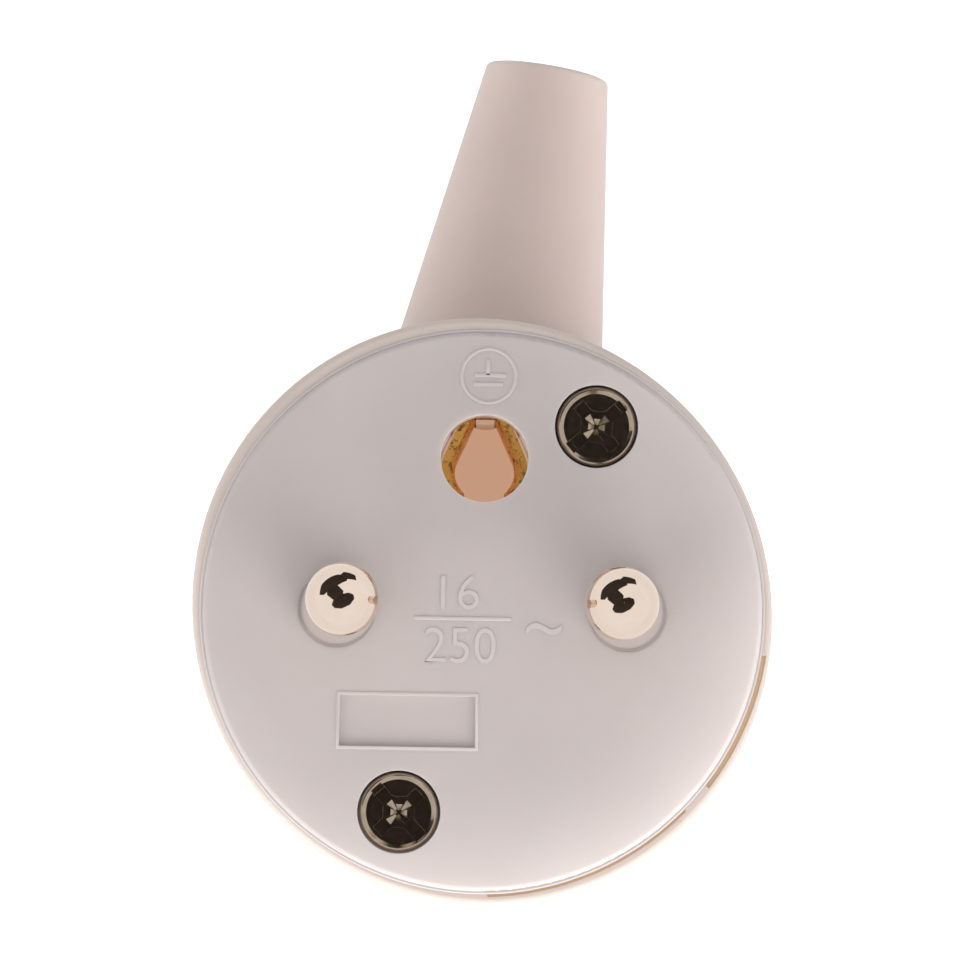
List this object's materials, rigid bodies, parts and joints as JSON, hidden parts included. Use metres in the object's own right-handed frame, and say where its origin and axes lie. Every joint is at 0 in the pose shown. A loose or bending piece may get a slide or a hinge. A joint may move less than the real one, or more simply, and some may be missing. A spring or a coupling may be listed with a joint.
{
  "type": "two-pole and earth plug with a finger ring",
  "caption": "White rewirable mains plug with round pins, an earth hole, a side cable sleeve and a finger ring moulded on its back.",
  "frame": {"origin": "middle of the ring's flat outer end, on the plug's own axis", "axes": "+Z along the plug's axis towards the pins' tips, +Y towards the earth hole and the cable sleeve, +X towards the neutral pin"},
  "size_m": [0.038, 0.0569, 0.069],
  "materials": {
    "white_plastic": "satin moulded thermoplastic",
    "sleeve_plastic": "soft satin flexible plastic",
    "nickel": "polished nickel plate on brass",
    "brass": "bright bent strip",
    "screw_steel": "dull nickel-plated steel"
  },
  "bodies": {
    "root": {"face_plate": "white_plastic", "back_casing": "white_plastic", "cord_clamp": "white_plastic", "cable_sleeve": "sleeve_plastic", "line_pin": "nickel", "neutral_pin": "nickel", "earth_contact": "brass", "earth_terminal": "brass", "line_terminal_screw": "screw_steel", "neutral_terminal_screw": "screw_steel", "earth_terminal_screw": "screw_steel", "cord_clamp_screw_left": "screw_steel", "cord_clamp_screw_right": "screw_steel", "casing_screw_upper": "screw_steel", "casing_screw_lower": "screw_steel"}
  },
  "joints": []
}
